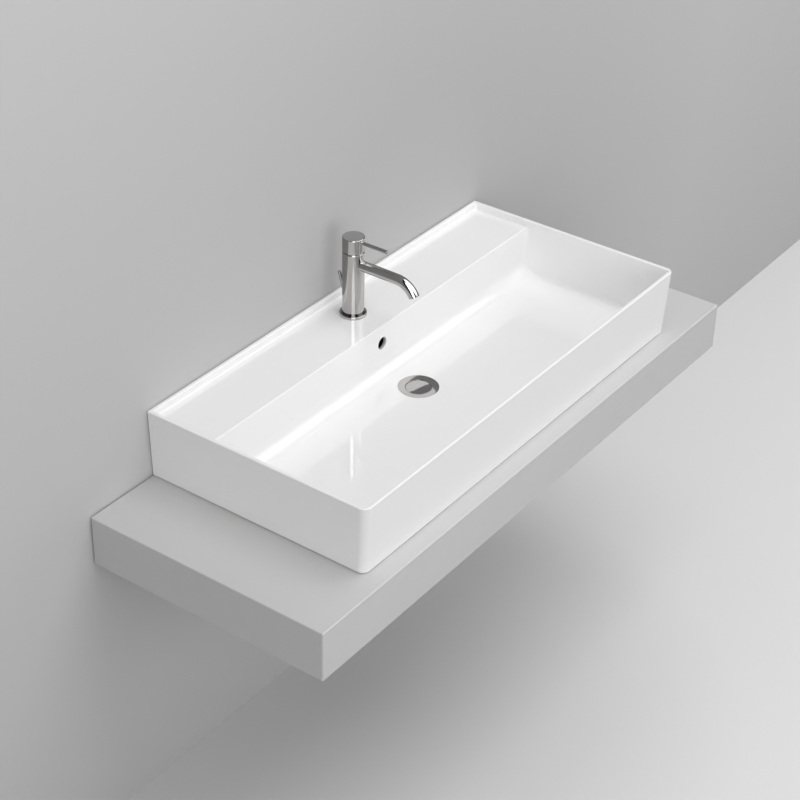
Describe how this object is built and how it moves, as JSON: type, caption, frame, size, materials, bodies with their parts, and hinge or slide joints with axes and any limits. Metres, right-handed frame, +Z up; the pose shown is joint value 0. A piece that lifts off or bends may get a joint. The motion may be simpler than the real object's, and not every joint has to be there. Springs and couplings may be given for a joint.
{
  "type": "washbasin",
  "caption": "Rectangular china washbasin with a tap ledge on a hollow wall-hung slab shelf, with a pin-lever mixer tap, pop-up waste with lift rod, and bottle trap.",
  "frame": {"origin": "middle of the back face of the steel wall rail, in the plane of the wall", "axes": "+X along the basin to its right as seen from the front, +Y into the wall, +Z up"},
  "size_m": [1.305, 0.506, 0.5585],
  "materials": {
    "lacquer": "matt light grey lacquer",
    "board": "bare board",
    "steel": "zinc-plated steel",
    "china": "white gloss glaze over fired clay",
    "silicone": "white silicone sealant",
    "chrome": "bright chrome plate over brass",
    "brass": "plain brass",
    "rubber": "black rubber",
    "nylon": "off-white acetal"
  },
  "bodies": {
    "fixed": {"aerator_housing": "chrome", "aerator_insert": "nylon", "basin": "china", "carrier_arm_1": "steel", "carrier_arm_2": "steel", "carrier_arm_3": "steel", "carrier_arm_4": "steel", "cartridge": "nylon", "cartridge_nut": "brass", "clamp_gasket": "rubber", "clamp_plate": "steel", "collar": "chrome", "cup_seal": "rubber", "flange_gasket": "rubber", "outlet_nut": "chrome", "outlet_pipe": "chrome", "pivot_nut": "chrome", "pivot_seal": "nylon", "sealant_bead": "silicone", "shelf_bottom_panel": "lacquer", "shelf_rib_left": "board", "shelf_rib_right": "board", "shelf_screw_1": "steel", "shelf_screw_2": "steel", "shelf_screw_3": "steel", "shelf_screw_4": "steel", "shelf_shell": "lacquer", "spout": "chrome", "stud_nut": "brass", "tap_base_ring": "chrome", "tap_base_seal": "rubber", "tap_body": "chrome", "tap_stud": "brass", "trap_cup": "chrome", "trap_head": "chrome", "trap_nut": "chrome", "trap_seal": "rubber", "wall_rail": "steel", "wall_rosette": "chrome", "waste_body": "chrome", "waste_flange": "chrome", "waste_locknut": "brass", "waste_lower_gasket": "rubber"},
    "swivel": {"cartridge_turret": "nylon", "stem_pin": "steel"},
    "lever": {"lever_cap": "chrome", "lever_rod": "chrome", "lever_grub_screw": "steel", "cartridge_stem": "brass"},
    "lift": {"lift_rod": "chrome", "lift_knob": "chrome", "lift_strap": "brass", "strap_screw": "brass"},
    "pivot_rod": {"ball_rod": "chrome"},
    "plug": {"plug_cap": "chrome", "plug_seal": "rubber", "plug_stem": "nylon", "plug_adjuster": "brass", "adjuster_nut": "brass"}
  },
  "joints": [
    {"name": "lever_swivel", "type": "hinge", "parent": "fixed", "child": "swivel", "pos_m": [0, -0.0668, 0.2995], "axis": [0, 0, 1], "range_deg": [-45, 45]},
    {"name": "lever_tilt", "type": "hinge", "parent": "swivel", "child": "lever", "pos_m": [0, -0.0668, 0.2995], "axis": [-1, 0, 0], "range_deg": [0, 15]},
    {"name": "lift_slide", "type": "slide", "parent": "fixed", "child": "lift", "axis": [0, 0.2924, 0.9563], "range_m": [-0.03, 0]},
    {"name": "ball_pivot", "type": "hinge", "parent": "fixed", "child": "pivot_rod", "pos_m": [0, -0.195, -0.005], "axis": [1, 0, 0], "range_deg": [-20.5, 0]},
    {"name": "plug_slide", "type": "slide", "parent": "fixed", "child": "plug", "axis": [0, 0, 1], "range_m": [0, 0.0097]}
  ],
  "couplings": [
    {"joint": "ball_pivot", "follows": "lift_slide", "rad_per_m": 11.52},
    {"joint": "plug_slide", "follows": "lift_slide", "ratio": -0.3135}
  ]
}
